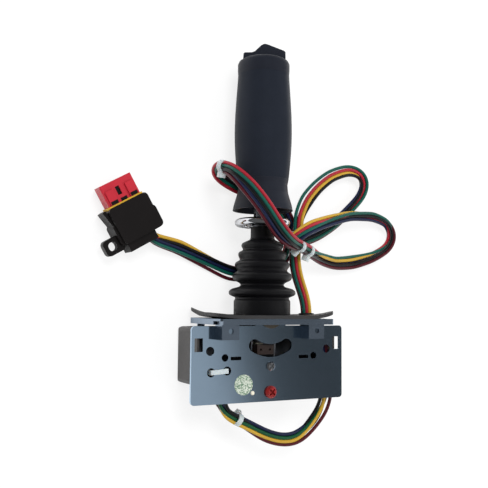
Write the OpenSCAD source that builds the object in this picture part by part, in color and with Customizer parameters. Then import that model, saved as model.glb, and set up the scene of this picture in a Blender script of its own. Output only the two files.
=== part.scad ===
// Single-axis industrial joystick, lying on its back as it does on a bench.
// +Y runs along the lever towards the grip, +X along the chassis, +Z out of the front plate.
// The origin is the centre of the panel mounting face, on the lever axis.
// Each module below draws its piece upright: x across, y towards the back, z up the lever.

/* [Panel mount] */
// Width of the mounting pan
pan_w = 90; // [86:1:100]
// Depth of the mounting pan, front to back
pan_d = 51; // [50:0.5:56]
// Sheet thickness of the pan
pan_t = 1.5; // [1:0.25:2]
// Height of the skirt bent down round the pan
skirt_h = 4; // [3.5:0.25:4.5]
// Distance between the panel screws, left to right
bolt_x = 78; // [76:1:80]
// Distance between the panel screws, front to back
bolt_y = 39; // [38:1:40]
// Diameter of the panel screw holes
bolt_d = 4.4; // [3.4:0.1:5]

/* [Chassis] */
// Length of the front plate
plate_w = 120; // [118:1:130]
// Height of the front plate
plate_h = 52; // [52:1:60]
// Thickness of both chassis plates
plate_t = 2; // [1.5:0.25:2.25]
// Clear distance between the chassis plates
plate_gap = 20; // [19.5:0.25:20.5]
// Drop from the mounting face to the top edge of the front plate
plate_drop = 5; // [5:0.25:6]
// Length of the rear plate
rear_w = 100; // [100:1:104]
// Height of the rear plate
rear_h = 35; // [34.5:0.25:37]
// Radius of the slot that shows the follower, about the pivot
slot_r = 24.6; // [24:0.1:25]
// Width of that slot
slot_w = 9; // [7:0.5:10]
// Half angle of the slot, to the centre of its round end
slot_half = 31; // [20:1:35]

/* [Rear cover] */
// Width of the cover
cover_w = 110; // [109:1:114]
// Height of the cover
cover_h = 39.5; // [38.5:0.5:42]
// Wall of the cover
cover_t = 1.6; // [1.2:0.2:2]

/* [Lever] */
// Height of the lever pivot above the mounting face
pivot_z = 2.5; // [2:0.1:3]
// Diameter of the pivot journals
journal_d = 8; // [7:0.25:9]
// Radius of the hub boss that turns about the pivot
hub_r = 10; // [9.5:0.1:10.2]
// Outer diameter of the lever tube
shaft_d = 13; // [12.6:0.1:13.4]
// Bore of the lever tube
shaft_bore = 6.2; // [6:0.1:7]
// Travel of the lock ring
lock_travel = 5; // [3:0.5:5.2]
// Mean radius of the lock ring
ring_r = 17.3; // [17:0.1:18]
// Thickness of the lock ring's round rim
ring_wire = 5.4; // [4.6:0.2:5.8]
// Height of the lock ring's centre above the mounting face
ring_z = 68.4; // [68:0.2:69]

/* [Gears] */
// Tooth module of the sensor gears
gear_m = 1; // [0.98:0.01:1.01]
// Teeth on the full circle of the sector
sector_teeth = 32; // [30:1:33]
// Teeth on the sensor gear
pinion_teeth = 14; // [13:1:14]

/* [Grip] */
// Radius of the grip at its fullest
grip_r = 20.9; // [20.4:0.1:21.4]
// Radius of the skirt's bottom rim
skirt_r = 21.8; // [21.4:0.1:22.2]
// Height of the seam between skirt and grip
grip_seat = 99.7; // [99:0.1:101]
// Height of the seam between grip and head
head_seat = 176.6; // [176:0.2:178]
// Turn of the grip on the lever tube
grip_turn = -26; // [-40:1:0]

/* [Rocker] */
// Width of the thumb rocker
rocker_w = 31; // [29:0.5:31]
// Depth of the thumb rocker
rocker_d = 18; // [16:0.5:18]
// Height of the rocker's ridge above the mounting face
rocker_top = 198.5; // [197.5:0.1:199.5]

/* [Harness] */
// Radius of the tied wire bundle
bundle_r = 3.2; // [2.8:0.1:3.2]
// Radius of the bundle where it is spread flat under the lever
flat_r = 2.2; // [1.9:0.1:2.2]

/* [Connector] */
// Width of the plug shell
shell_w = 34; // [33:0.5:36]
// Length of the plug shell
shell_l = 26; // [25:0.5:28]
// Height of the plug shell
shell_h = 19; // [18:0.5:20]
// Width of the red contact insert
insert_w = 24.6; // [24:0.2:25.4]

/* [Hidden] */
$fn = 48;

fit = 0.05;                                // radial running clearance
seat = 0.1;                                // axial running clearance
free = 0.3;                                // clearance between pieces that pass each other
front_y = -(plate_gap / 2 + 1 + plate_t);  // face of the front plate
gap_front = front_y + plate_t;             // back of the front plate
gap_back = gap_front + plate_gap;          // face of the rear plate
rear_y = gap_back + plate_t;               // back of the rear plate
pan_back = pan_d / 2;                      // the whole object lies on this plane
plate_top = -plate_drop;
tongue_r = 12;
bushing_d = journal_d + 3;
flange_t = 2.6;
cuff_r = 20.3;
cover_top = plate_top - 1;
cover_rim = gap_front + seat;
post_d = 7;
window_w = 35.6;
posts = [[-36, -12.5], [36, -12.5], [-24, -36], [24, -36]];
pan_tab_x = 42.4;
pan_tab_w = 5.2;
pan_screw_d = 2.6;
pan_tab_z = -12.5;
boss_d = 10.4;
head_h = 2.4;
gate_y = 2;
gate_r = hub_r + 1.9;
rod_d = shaft_bore - 2 * fit;
rod_tip = pivot_z - gate_r + free;
tube_foot = pivot_z + 7;
socket_top = 22;
tube_top = head_seat - 8;
collar_r = shaft_d / 2 + 2.6;
pin_d = 3;
spring_seat = ring_z + 28.2;
board_y = pan_back - 10.5;
gear_y0 = 3.6;
gear_y1 = 7.6;
gear_gap = 0.15;
centre_distance = gear_m * (sector_teeth + pinion_teeth) / 2 + gear_gap;
sensor_angle = 215;
sector_half = 36;
pot_bush_d = 6;
sensor_x = centre_distance * cos(sensor_angle);
sensor_z = pivot_z + centre_distance * sin(sensor_angle);
anchor_z = -32.8;
stop_z = -50.6;
coil_wire = 2;
coil_r = 5.15;
follower_d = 5;
block_x0 = -8.9;
block_x1 = 4.1;
block_back = -3;
abutment_r = 20.2;
grommet_x = 37.5;
grommet_d = 9.4;
rocker_pin_z = head_seat + 9;
connector_turn = 30;
connector_x = -99.8;
connector_z = 78.3;

// Wire routes: x across, y towards the back, z up the lever.
stem_route = [[37.5, 0, -2.6], [37.5, 0, 9], [36.5, 2, 17], [34.5, 5, 26], [33, 7.5, 35], [32, 8, 44.7]];
upper_route = [[32, 8, 45], [32.5, 8, 52.5], [34, 8.5, 59.5], [35, 9, 65.5], [38, 11, 77.5], [47, 14, 90.5],
    [57.5, 16, 101.5], [71.5, 17.5, 112], [89, 18.5, 118.5], [101, 18.5, 116.5], [105.5, 18.5, 108],
    [100.5, 18.5, 97.5], [88.5, 18.5, 86], [74, 18, 73.5], [58.5, 17, 64], [44.5, 16.5, 58.5], [32.5, 16, 55]];
side_route = [[32.5, 16, 55], [25, 9.5, 54.5], [26.5, 2.5, 57], [34.5, 0.4, 63.5], [45, 2, 68.5], [62, 5, 74.5],
    [84, 9, 80.5], [109.5, 14, 82], [128, 17.5, 78], [134.5, 19.5, 68.5], [129, 19.5, 58],
    [112.5, 19.5, 49.5], [93.5, 19.5, 44], [75, 17, 42.5], [59, 11, 45], [45.5, 3, 48.5]];
front_route = [[45.5, 3, 48.5], [32.5, -5, 51.5], [21, -12, 53], [10.5, -18, 56], [1, -22.5, 62],
    [-7.5, -25.5, 70.5], [-15, -26.5, 79], [-23.5, -24, 89.5], [-29.5, -18.5, 98], [-33.5, -9, 105],
    [-36, 0, 107]];
back_route = [[-36, 0, 107], [-35, 7, 105], [-28, 14, 101.5], [-19, 18.5, 99], [-9.5, 21.2, 96.5],
    [4, 21.2, 93.5], [18, 21.2, 90], [29.5, 21.3, 81.5], [37, 21.5, 69], [37, 22.3, 56]];
tail_route = [[37, 22.3, 56], [33, 22.8, 45], [25, 23, 39.5], [13, 23.1, 36], [0, 23.1, 33], [-14, 22.6, 33],
    [-29, 22, 39], [-43.5, 21, 44.5], [-57.5, 19, 49.5], [-71, 16.5, 52.5], [-79.2, 16, 54.8], [-82.3, 16, 60]];
under_route = [[-39, -6.5, -30], [-37, -6.3, -42], [-34.5, -3, -55], [-29.5, 0, -64], [-21.5, 0, -68.5],
    [-15, 0, -72], [4, 0, -82.5], [16.5, 0, -86.5], [29, 0, -86.5], [40, 0, -79], [50, 0, -69], [53, -3, -58.5],
    [51, -5, -45], [48, -5.5, -28], [46.3, -5.5, -15], [42.2, -5, -8], [38.4, -1, -5.4], [37.5, 0, -2.6]];

// A sheet or bar in the upright x-z plane, ending at y_end and t thick.
module panel(y_end, t) { translate([0, y_end, 0]) rotate([90, 0, 0]) linear_extrude(t) children(); }
// A round bar along y.
module bar(x, z, d, y0, y1) {
    translate([x, y1, z]) rotate([90, 0, 0]) cylinder(d = d, h = y1 - y0);
}
module rounded(w, h, r) {
    square([w - 2 * r, h], center = true);
    square([w, h - 2 * r], center = true);
    for (x = [-1, 1], z = [-1, 1]) translate([x * (w / 2 - r), z * (h / 2 - r)]) circle(r, $fn = 32);
}
module lay() { rotate([-90, 0, 0]) children(); }

// Tube of n sides through the points of a route; first and last are its directions at the ends.
function unit(v) = v / norm(v);
function carry(u, t) = unit(u - (u * t) * t);
function frames(t, i, u) = i >= len(t) ? [] :
    let (v = carry(u, t[i])) concat([[v, cross(t[i], v)]], frames(t, i + 1, v));
function along(a, b) = b[1] - a[len(a) - 2];
module tube(p, r, first, last, n = 8) {
    end = len(p) - 1;
    t = [for (i = [0:end]) unit(i == 0 ? first : i == end ? last : p[i + 1] - p[i - 1])];
    f = frames(t, 0, abs(t[0][2]) < 0.9 ? [0, 0, 1] : [1, 0, 0]);
    points = [for (i = [0:end], k = [0:n - 1])
        p[i] + r * (cos(360 * k / n) * f[i][0] + sin(360 * k / n) * f[i][1])];
    sides = [for (i = [0:end - 1], k = [0:n - 1]) [(i + 1) * n + k, (i + 1) * n + (k + 1) % n,
        i * n + (k + 1) % n, i * n + k]];
    polyhedron(points, concat(sides, [[for (k = [0:n - 1]) k], [for (k = [0:n - 1]) end * n + n - 1 - k]]));
}
// Children placed round the middle of segment i of a route, z along the route.
module on_route(p, i, spin) {
    d = unit(p[i + 1] - p[i]);
    translate((p[i] + p[i + 1]) / 2) rotate([0, acos(d[2]), atan2(d[1], d[0])]) rotate(spin) children();
}

// Involute spur gear outline; gap is shaved off each flank as backlash.
function involute(rb, a) = rb * [cos(a) + a * PI / 180 * sin(a), sin(a) - a * PI / 180 * cos(a)];
function turn(p, a) = [p[0] * cos(a) - p[1] * sin(a), p[0] * sin(a) + p[1] * cos(a)];
module gear_2d(teeth, m, backlash = 0.12) {
    rp = m * teeth / 2;
    rb = rp * cos(20);
    ra = rp + 0.9 * m;
    rf = rp - 1.25 * m;
    a_tip = sqrt(pow(ra / rb, 2) - 1) * 180 / PI;
    a_pitch = tan(20) * 180 / PI - 20;
    half = 90 / teeth + a_pitch - backlash / rp * 180 / PI / 2;
    steps = 4;
    flank = [for (k = [0:steps]) turn(involute(rb, a_tip * k / steps), -half)];
    tooth = concat([[rf * cos(half), -rf * sin(half)]], flank,
        [for (k = [steps:-1:0]) [flank[k][0], -flank[k][1]]], [[rf * cos(half), rf * sin(half)]]);
    circle(rf + 0.01, $fn = 4 * teeth);
    for (i = [0:teeth - 1]) rotate(360 * i / teeth) polygon(tooth);
}

/* ---- Mount and chassis ---- */
module lug(x) {
    lug_w = 12.8;
    lug_h = 12.5;
    lug_y = pan_d / 2 - pan_t - 0.5;
    difference() {
        translate([x, -lug_y, -pan_t - lug_h]) cube([lug_w, pan_t, lug_h]);
        bar(x + lug_w / 2 + 0.3, -8.2, 3.6, -pan_d, 0);
    }
    translate([x, -lug_y, -pan_t - lug_h]) cube([pan_t, front_y + lug_y, lug_h]);
}
module mounting_pan() lay() color([0.55, 0.6, 0.64]) {
    difference() {
        translate([0, 0, -skirt_h]) linear_extrude(skirt_h) rounded(pan_w, pan_d, 2);
        translate([0, 0, -skirt_h - 1]) linear_extrude(skirt_h + 1 - pan_t)
            rounded(pan_w - 2 * pan_t, pan_d - 2 * pan_t, 0.5);
        for (x = [-1, 1], y = [-1, 1]) translate([x * bolt_x / 2, y * bolt_y / 2, -skirt_h])
            cylinder(d = bolt_d, h = skirt_h + 1);
        translate([-window_w / 2, front_y - 3, -skirt_h]) cube([window_w, rear_y - front_y + 5, skirt_h + 1]);
        translate([grommet_x, 0, -skirt_h]) cylinder(d = grommet_d, h = skirt_h + 1);
        translate([-pan_w / 2 - 1, -pan_d / 2 - 1, -skirt_h - 1]) cube([3, 12, skirt_h + 1 - pan_t]);
        translate([pan_w / 2 - 2, -pan_d / 2 + pan_t, -skirt_h - 1]) cube([3, 10, skirt_h + 1 - pan_t]);
    }
    lug(-42.8);
    lug(24.8);
    for (x = [-pan_tab_x, pan_tab_x]) difference() {
        translate([x - pan_tab_w / 2, rear_y, pan_tab_z - 4]) cube([pan_tab_w, pan_t, 4 - pan_tab_z - pan_t / 2]);
        bar(x, pan_tab_z, pan_screw_d, rear_y - 1, rear_y + pan_t + 1);
    }
}
module arc_slot(r, w, half) {
    intersection() {
        difference() {
            circle(r + w / 2, $fn = 96);
            circle(r - w / 2, $fn = 96);
        }
        polygon([[0, 0], 2 * r * [-sin(half), -cos(half)], [0, -3 * r], 2 * r * [sin(half), -cos(half)]]);
    }
    for (a = [-half, half]) translate(r * [sin(a), -cos(a)]) circle(d = w);
}
module plate_tongue() {
    translate([-tongue_r, plate_top - 4]) square([2 * tongue_r, pivot_z - plate_top + 4]);
    translate([0, pivot_z]) circle(tongue_r);
}
module front_plate() lay() color([0.42, 0.48, 0.54]) panel(gap_front, plate_t) difference() {
    union() {
        translate([0, plate_top - plate_h / 2]) rounded(plate_w, plate_h, 2.5);
        plate_tongue();
    }
    translate([0, pivot_z]) circle(d = bushing_d);
    translate([0, pivot_z]) arc_slot(slot_r, slot_w, slot_half);
    for (x = [-1, 1]) {
        translate([x * 46.4, plate_top - 16.7]) circle(d = 6);
        translate([x * 35.3, plate_top - 21.3]) circle(d = 5);
        translate([x * 27, plate_top - 21.9]) rounded(8, 2.4, 0.4);
        translate([x * (plate_w / 2 - 5.2), plate_top - 12.5]) rounded(6, 9, 0.4);
    }
    for (s = [-1, 1]) translate([-39.5, -35.5]) rotate(4) translate([s * 6, 0]) difference() {
        circle(d = 6);
        translate([-s * 4.2, 0]) square([4, 8], center = true);
    }
    translate([0, anchor_z]) circle(d = 4.2);
    translate([0, stop_z]) circle(d = 5.2);
    translate([-14, stop_z - 0.1]) circle(d = 1.8);
}
module rear_plate() lay() color([0.62, 0.64, 0.66]) panel(rear_y, plate_t) difference() {
    union() {
        translate([0, plate_top - 1.5 - rear_h / 2]) rounded(rear_w, rear_h, 3);
        plate_tongue();
    }
    translate([0, pivot_z]) circle(d = bushing_d);
    translate([sensor_x, sensor_z]) circle(d = pot_bush_d + 0.1);
    translate([0, anchor_z]) circle(d = 4.2);
    for (x = [-1, 1]) translate([x * pan_tab_x, pan_tab_z]) circle(d = pan_screw_d);
    for (p = posts) translate(p) circle(d = 4.2);
}
module cover_solid(inset) {
    w = cover_w - 2 * inset;
    h = cover_h - 2 * inset;
    r = 4 - inset;
    intersection() {
        translate([0, 0, cover_top - cover_h / 2]) panel(pan_back - inset, pan_back * 2) rounded(w, h, r);
        translate([0, 0, cover_top - cover_h / 2 - h / 2]) linear_extrude(h)
            translate([0, -r]) rounded(w, 2 * (pan_back - inset + r), r);
        rotate([90, 0, 90]) translate([-r, cover_top - cover_h / 2, -w / 2]) linear_extrude(w)
            rounded(2 * (pan_back - inset + r), h, r);
    }
}
module rear_cover() lay() color([0.33, 0.32, 0.33]) difference() {
    union() {
        difference() {
            cover_solid(0);
            cover_solid(cover_t);
        }
        for (p = posts) bar(p[0], p[1], boss_d, pan_back - 5, pan_back - cover_t / 2);
    }
    translate([-100, -80, -80]) cube([200, 80 + cover_rim, 160]);
    for (p = posts) {
        bar(p[0], p[1], 8, pan_back - 3 + seat, pan_back + 1);
        bar(p[0], p[1], 3.4, pan_back - 8, pan_back + 1);
    }
    translate([-rear_w / 2 - 2, cover_rim - 1, cover_top - 8])
        cube([rear_w + 4, rear_y + pan_t + 1.5 - cover_rim, 12]);
    translate([sensor_x - 8, cover_rim, cover_top - 8]) cube([16, rear_y + 9 - cover_rim, 12]);
    for (x = [-35.5, 48]) translate([x - 6, cover_rim - 1, cover_top - cover_h - 1]) cube([12, 16, 6]);
}
module cover_screws() lay() color("silver") for (p = posts) difference() {
    union() {
        bar(p[0], p[1], 6.4, pan_back - 3 + seat, pan_back - 3 + seat + head_h);
        bar(p[0], p[1], 3, rear_y + 2, pan_back - 2);
    }
    for (a = [0, 90]) translate([p[0], pan_back - 3 + seat + head_h, p[1]]) rotate([0, a, 0])
        cube([3.6, 1.6, 0.8], center = true);
}
module spacer_posts() lay() color([0.75, 0.76, 0.78]) for (p = posts) difference() {
    union() {
        bar(p[0], p[1], post_d, gap_front, gap_back);
        bar(p[0], p[1], 4.2, gap_front, rear_y + 0.5);
        bar(p[0], p[1], post_d, rear_y, pan_back - 5);
    }
    bar(p[0], p[1], 3, rear_y + 1.9, pan_back);
}
module pan_screws() lay() color("silver") for (x = [-pan_tab_x, pan_tab_x]) difference() {
    union() {
        bar(x, pan_tab_z, 5, rear_y + pan_t, rear_y + pan_t + 1.8);
        bar(x, pan_tab_z, pan_screw_d, gap_back - 3, rear_y + pan_t + 1);
        bar(x, pan_tab_z, 4.8, gap_back - 2.2, gap_back);
    }
    for (a = [0, 90]) translate([x, rear_y + pan_t + 1.8, pan_tab_z]) rotate([0, a, 0])
        cube([3, 1.6, 0.7], center = true);
}
module pivot_bushings() lay() color([0.72, 0.6, 0.36]) for (s = [0, 1]) {
    y_face = s == 0 ? front_y : rear_y;
    y_in = s == 0 ? gap_front : gap_back;
    dir = s == 0 ? -1 : 1;
    difference() {
        union() {
            bar(0, pivot_z, 18.6, min(y_face, y_face + dir), max(y_face, y_face + dir));
            bar(0, pivot_z, bushing_d, min(y_in, y_face), max(y_in, y_face));
        }
        bar(0, pivot_z, journal_d + 2 * fit, -40, 40);
    }
}
module lock_gate() lay() color([0.7, 0.71, 0.74]) {
    panel(gate_y, 2 * gate_y) difference() {
        union() {
            intersection() {
                translate([0, pivot_z]) circle(gate_r + 7.6, $fn = 96);
                translate([-30, -40]) square([60, 40 + pivot_z - 9]);
            }
            translate([-36, posts[0][1] - 3]) square([72, 6]);
            for (x = [-36, 36]) translate([x, posts[0][1]]) circle(d = post_d + 1.5);
        }
        translate([0, pivot_z]) circle(gate_r, $fn = 96);
        translate([-rod_d / 2 - 0.4, pivot_z - gate_r - 3.2]) square([rod_d + 0.8, 8]);
        for (x = [-36, 36]) translate([x, posts[0][1]]) circle(d = post_d);
    }
    panel(-gate_y, 7.4) intersection() {
        translate([block_x0, pivot_z - 24]) square([block_x1 - block_x0, 8]);
        translate([0, pivot_z]) circle(abutment_r, $fn = 96);
    }
}
module anchor_post() lay() color([0.75, 0.76, 0.78]) difference() {
    union() {
        bar(0, anchor_z, 8, gap_front, gap_back);
        bar(0, anchor_z, 4.2, gap_back, rear_y);
    }
    bar(0, anchor_z, 3.2, gap_front - 1, gap_front + 8);
}
module cross_head(x, z, d, h, y_seat, d_shank, depth) {
    difference() {
        union() {
            bar(x, z, d, y_seat - h * 0.5, y_seat);
            translate([x, y_seat - h * 0.5, z]) rotate([90, 0, 0]) cylinder(d1 = d, d2 = d * 0.7, h = h * 0.5, $fn = 48);
            bar(x, z, d_shank, y_seat - h * 0.4, y_seat + depth);
        }
        for (a = [45, 135]) translate([x, y_seat - h, z]) rotate([0, a, 0])
            cube([d * 0.62, h, d * 0.14], center = true);
    }
}
module anchor_screw() lay() color([0.72, 0.74, 0.78]) cross_head(0, anchor_z, 6.6, 2, front_y, 3.2, 8);
module stop_nut() lay() color("silver") translate([0, gap_front + 4, stop_z]) rotate([90, 0, 0]) difference() {
    cylinder(d = 9.2, h = 4, $fn = 6);
    translate([0, 0, -1]) cylinder(d = 5, h = 6);
}
module stop_screw() lay() color([0.6, 0.1, 0.1]) cross_head(0, stop_z, 8.6, 3, front_y, 5, 7);
module case_rivet() lay() color([0.85, 0.87, 0.9]) {
    translate([-14, front_y, stop_z - 0.1]) rotate([90, 0, 0]) cylinder(d1 = 3, d2 = 2, h = 0.8);
    bar(-14, stop_z - 0.1, 1.8, front_y - 0.2, gap_front + 0.4);
}
module strap_tie() lay() color([0.86, 0.9, 0.92]) translate([-39.5, 0, -35.5]) rotate([0, -4, 0]) {
    strap_w = 3.2;
    span = 11;
    translate([-span / 2 - 1, front_y - 1.3, -strap_w / 2]) cube([span + 2, 1.2, strap_w]);
    for (s = [-1, 1]) translate([s * span / 2 + s * 0.4 - 0.6, front_y - 1.2, -strap_w / 2]) cube([1.2, plate_t + 10.8, strap_w]);
    translate([-span / 2 - 1, gap_front + 8.4, -strap_w / 2]) cube([span + 2, 1.2, strap_w]);
}
module inspection_sticker() lay() color([0.9, 0.93, 0.88])
    translate([-21, front_y, plate_top - 39.9]) rotate([90, 0, 0]) cylinder(d = 13.9, h = 0.15, $fn = 64);

/* ---- Position sensor and electronics ---- */
module potentiometer() lay() color([0.12, 0.2, 0.16]) {
    difference() {
        union() {
            bar(sensor_x, sensor_z, 13, rear_y, rear_y + 8);
            bar(sensor_x, sensor_z, pot_bush_d, gap_back - 1.2, rear_y + 1);
            translate([sensor_x - 5, rear_y + 2, sensor_z - 10.5]) cube([10, 2, 7]);
        }
        bar(sensor_x, sensor_z, 4 + 2 * fit, gap_back - 3, rear_y + 6);
    }
    for (k = [-1:1]) translate([sensor_x + 3.2 * k - 0.6, rear_y + 2.6, sensor_z - 15]) cube([1.2, 0.8, 5]);
}
module sensor_nut() lay() color("silver") difference() {
    translate([sensor_x, gap_back, sensor_z]) rotate([90, 0, 0]) cylinder(d = 9.2, h = 1.2, $fn = 6);
    bar(sensor_x, sensor_z, pot_bush_d, gap_back - 5, gap_back + 1);
}
module circuit_board() lay() color([0.1, 0.36, 0.2]) difference() {
    union() {
        translate([7, board_y, -40.5]) cube([41, 1.6, 24]);
        translate([12, board_y + 1.6, -30]) cube([9, 1.8, 9]);
        for (k = [0:3]) translate([28 + 4.4 * k, board_y + 1.6, -24]) cube([3, 1.4, 5]);
    }
    bar(posts[3][0], posts[3][1], post_d + 0.1, 0, 40);
}
module board_header() lay() color([0.88, 0.86, 0.78]) difference() {
    translate([31, board_y + 1.6, -39]) cube([15, 5.5, 7]);
    for (k = [0:4]) translate([32.4 + 2.6 * k, board_y + 4, -37.6]) cube([1.8, 4, 4.2]);
}
module sensor_shaft() lay() color("silver") bar(sensor_x, sensor_z, 4, gear_y0 - 1.2, rear_y + 5.9);
module sensor_gear() lay() color([0.9, 0.88, 0.8]) difference() {
    union() {
        panel(gear_y1, gear_y1 - gear_y0) translate([sensor_x, sensor_z]) rotate(sensor_angle + 180 + 180 / pinion_teeth)
            gear_2d(pinion_teeth, gear_m);
        bar(sensor_x, sensor_z, 8, gear_y0 - 1, gear_y0 + 1);
    }
    bar(sensor_x, sensor_z, 4, -10, 20);
}

/* ---- Boot ---- */
boot_outer = [[20.3, 2.6], [20.3, 12.4], [19.3, 13.6], [19.3, 14.8], [21.6, 15.6], [23.6, 16.6], [24.1, 18.1],
    [23.6, 19.6], [21.8, 20.9], [16.4, 22.4], [15.3, 23.7], [16.4, 25.1], [20.2, 26.9], [21.3, 28.4], [21.6, 30.2],
    [20.9, 31.6], [18.6, 33], [17.8, 34], [18.4, 35.4], [19.5, 36.6], [19.9, 38.2], [19.2, 39.8], [17, 41],
    [16.1, 41.9], [16.7, 43.2], [17.3, 44.4], [17.5, 45.8], [16.8, 47.3], [14.6, 48.3], [13.8, 49.2],
    [14.7, 50.4], [15.3, 51.9], [14.6, 53.6], [11.4, 55.2], [9.2, 56.2], [8.6, 57.6], [8.5, 65.3]];
module boot() lay() color([0.08, 0.08, 0.09]) {
    wall = 1.5;
    n = len(boot_outer);
    top = boot_outer[n - 1];
    inner = [for (i = [n - 2:-1:0]) [max(boot_outer[i][0] - wall, shaft_d / 2 + 0.6), boot_outer[i][1]]];
    rotate_extrude($fn = 64) polygon(concat(boot_outer,
        [[shaft_d / 2 + fit, top[1]], [shaft_d / 2 + fit, top[1] - 2], [inner[0][0], top[1] - 2.6]], inner));
}
module boot_flange() lay() color([0.2, 0.2, 0.2]) difference() {
    translate([0, -0.6, 0]) linear_extrude(flange_t) rounded(pan_w + 4, pan_d + 1, 3);
    translate([0, 0, -1]) cylinder(r = cuff_r - 1.5, h = flange_t + 2);
    for (x = [-1, 1], y = [-1, 1]) translate([x * bolt_x / 2, y * bolt_y / 2, -1])
        cylinder(d = bolt_d, h = flange_t + 2);
    translate([grommet_x, 0, -1]) cylinder(d = grommet_d, h = flange_t + 2);
}
module harness_grommet() lay() color([0.12, 0.12, 0.12]) translate([grommet_x, 0, 0]) rotate_extrude()
    polygon([[bundle_r + 0.2, -pan_t - 1], [5.7, -pan_t - 1], [5.7, -pan_t], [grommet_d / 2, -pan_t],
        [grommet_d / 2, flange_t], [5.7, flange_t], [5.7, flange_t + 1], [bundle_r + 0.2, flange_t + 1.4]]);

/* ---- Lever ---- */
module lever_hub() lay() color([0.2, 0.2, 0.22]) {
    end_gap = 4 * seat;
    difference() {
        union() {
            bar(0, pivot_z, 2 * hub_r, gap_front + end_gap, gap_back - end_gap);
            translate([0, 0, pivot_z]) cylinder(d = 19, h = socket_top - pivot_z);
            translate([0, 0, pivot_z]) cylinder(r1 = 11.5, r2 = 9.5, h = 12);
        }
        translate([0, 0, tube_foot]) cylinder(d = shaft_d, h = 40);
        translate([0, 0, -20]) cylinder(d = shaft_bore, h = 50);
        translate([-20, gap_front - 20 + end_gap, 0]) cube([40, 20, 40]);
        translate([-20, gap_back - end_gap, 0]) cube([40, 20, 40]);
    }
    bar(0, pivot_z, journal_d, front_y - 0.6, gap_front + end_gap);
    bar(0, pivot_z, journal_d, gap_back - end_gap, rear_y + 0.6);
}
module sensor_sector() lay() color([0.88, 0.86, 0.78]) panel(gear_y1, gear_y1 - gear_y0)
    translate([0, pivot_z]) difference() {
        union() {
            intersection() {
                rotate(sensor_angle) gear_2d(sector_teeth, gear_m);
                polygon([[0, 0], for (a = [-1, 0, 1]) 60 * [cos(sensor_angle + a * sector_half),
                    sin(sensor_angle + a * sector_half)]]);
            }
            circle(hub_r + 2.5);
            translate([-3, -slot_r]) square([6, slot_r - 8]);
            translate([0, -slot_r]) circle(follower_d / 2 + 1.4);
        }
        circle(hub_r);
        translate([-hub_r - 1.8, -free]) square([2 * hub_r + 20, hub_r + 8]);
        translate([0, -slot_r]) circle(d = follower_d);
    }
module follower_block() lay() color([0.2, 0.13, 0.1]) {
    bar(0, pivot_z - slot_r, follower_d, block_back, gear_y1);
    difference() {
        translate([block_x0, gap_front + 1.1, pivot_z - slot_r - 2.9])
            cube([block_x1 - block_x0, block_back - gap_front - 1.1, 6.8]);
        for (x = [-6, 1.2]) bar(x, pivot_z - slot_r + 0.5, 1.6, gap_front, gap_front + 3);
    }
}
module centring_spring() lay() color([0.75, 0.77, 0.8]) {
    turns = 2.5;
    steps = 14;
    y0 = gap_front + coil_wire + 0.2;
    y1 = y0 + turns * coil_wire * 1.06;
    leg = coil_wire / 2 + 0.1;
    top = pivot_z - 17;
    coil = [for (i = [0:turns * steps]) let (a = 360 * i / steps)
        [coil_r * cos(a), y0 + coil_wire * 1.06 * i / steps, anchor_z - coil_r * sin(a)]];
    tube(concat([[block_x1 + leg, y0, top], [block_x1 + leg, y0, -24], [coil_r, y0, anchor_z + 3]], coil,
        [[-coil_r, y1, anchor_z + 2], [block_x0 - leg, y1, anchor_z + 6.3], [block_x0 - leg, y1, top]]),
        coil_wire / 2, [0, 0, -1], [0, 0, 1]);
}
module lever_tube() lay() color([0.5, 0.51, 0.54]) difference() {
    translate([0, 0, tube_foot]) cylinder(d = shaft_d, h = tube_top - tube_foot);
    translate([0, 0, tube_foot - 1]) cylinder(d = shaft_bore, h = spring_seat - tube_foot + 1);
    translate([0, 0, tube_foot]) cylinder(d = 3, h = tube_top);
    translate([-20, -pin_d / 2 - fit, ring_z - pin_d / 2 - free]) cube([40, pin_d + 2 * fit, pin_d + lock_travel + 2 * free]);
}
module lock_ring() lay() color([0.8, 0.81, 0.83]) difference() {
    union() {
        translate([0, 0, ring_z]) rotate_extrude($fn = 96) translate([ring_r, 0]) circle(d = ring_wire, $fn = 32);
        translate([0, 0, ring_z - 2.4]) cylinder(r = collar_r, h = 4.8);
        for (a = [60, 180, 300]) rotate(a) translate([collar_r - 1, -2, ring_z - 1]) cube([ring_r - collar_r + 1, 4, 2]);
    }
    translate([0, 0, ring_z - 5]) cylinder(d = shaft_d + 2 * fit, h = 10);
    translate([-collar_r - 1, 0, ring_z]) rotate([0, 90, 0]) cylinder(d = pin_d, h = 2 * collar_r + 2);
}
module lock_rod() lay() color([0.7, 0.71, 0.74]) difference() {
    union() {
        translate([0, 0, rod_tip + 2]) cylinder(d = rod_d, h = ring_z + 6 - rod_tip - 2);
        translate([0, 0, rod_tip]) cylinder(d1 = rod_d - 1.6, d2 = rod_d, h = 2);
    }
    translate([-10, 0, ring_z]) rotate([0, 90, 0]) cylinder(d = pin_d, h = 20);
}
module lock_pin() lay() color([0.75, 0.76, 0.78]) translate([-collar_r, 0, ring_z]) rotate([0, 90, 0])
    cylinder(d = pin_d, h = 2 * collar_r);
module lock_spring() lay() color([0.75, 0.77, 0.8]) {
    wire = 0.9;
    coil = shaft_bore / 2 - wire / 2 - 0.25;
    z0 = ring_z + 6 + wire / 2 + 0.1;
    steps = 10;
    turns = 7;
    pitch = 3;
    tube([for (i = [0:turns * steps]) [coil * cos(360 * i / steps), coil * sin(360 * i / steps), z0 + pitch * i / steps]],
        wire / 2, [0, 1, 0.2], [0, 1, 0.2], 6);
}

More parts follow.
